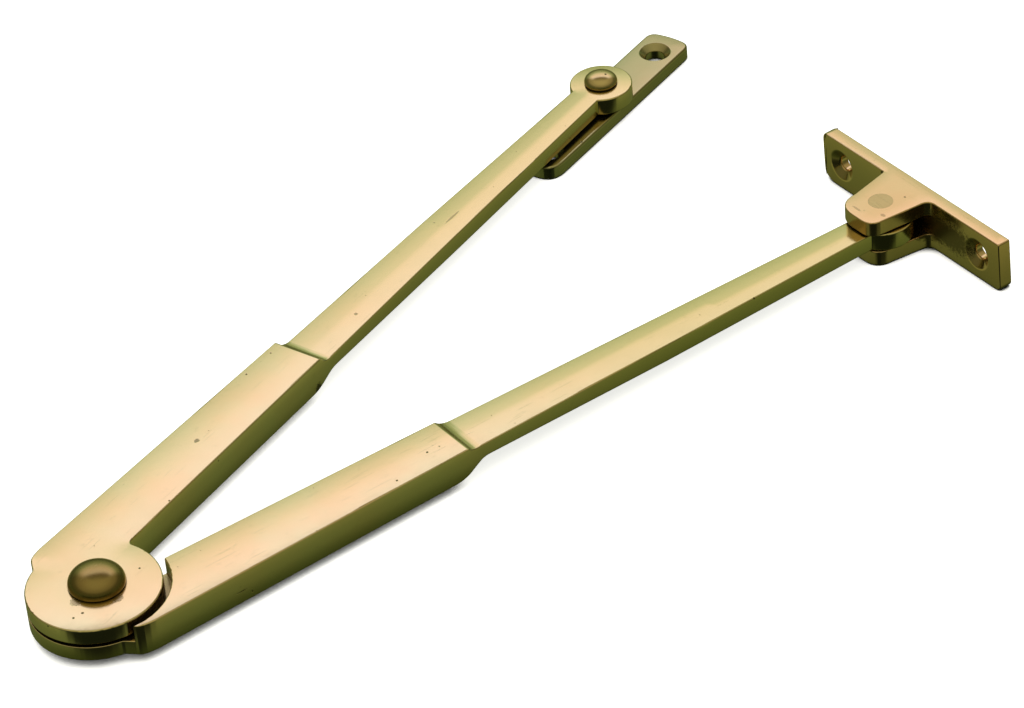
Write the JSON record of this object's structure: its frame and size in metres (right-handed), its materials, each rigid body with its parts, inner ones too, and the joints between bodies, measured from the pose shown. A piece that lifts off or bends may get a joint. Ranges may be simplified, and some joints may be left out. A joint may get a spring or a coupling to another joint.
{
  "type": "casement window stay",
  "caption": "Folding two-arm brass casement stay: a lugged bracket for the window frame, two arms joined by a riveted rule joint, and a flat plate for the sash.",
  "frame": {"origin": "middle of the frame bracket's back face, the face that lies against the window frame", "axes": "+Z along every pivot, +Y out of the bracket's back face into the window frame, +X along the bracket; the arms reach out towards -Y"},
  "size_m": [0.1091, 0.1967, 0.0118],
  "materials": {
    "polished_brass": "polished, lightly scratched",
    "rivet_brass": "polished, darker and tarnished",
    "pin_brass": "peened and filed flush, satin",
    "washer_bronze": "plain"
  },
  "bodies": {
    "frame_bracket": {"frame_bracket": "polished_brass", "bracket_pin": "pin_brass", "bracket_washer_upper": "washer_bronze", "bracket_washer_lower": "washer_bronze"},
    "frame_arm": {"frame_arm": "polished_brass", "elbow_rivet": "rivet_brass", "elbow_washer": "washer_bronze"},
    "sash_arm": {"sash_arm": "polished_brass"},
    "sash_plate": {"sash_plate": "polished_brass", "sash_rivet": "rivet_brass", "sash_washer": "washer_bronze"}
  },
  "joints": [
    {"name": "bracket_hinge", "type": "hinge", "parent": "frame_bracket", "child": "frame_arm", "pos_m": [0, -0.0096, 0], "axis": [0, 0, 1], "range_deg": [-86, 90]},
    {"name": "elbow_hinge", "type": "hinge", "parent": "frame_arm", "child": "sash_arm", "pos_m": [-0.0081, -0.1806, 0], "axis": [0, 0, 1], "range_deg": [-12, 155]},
    {"name": "sash_hinge", "type": "hinge", "parent": "sash_arm", "child": "sash_plate", "pos_m": [-0.07109, -0.02101, 0], "axis": [0, 0, 1], "continuous": true}
  ]
}
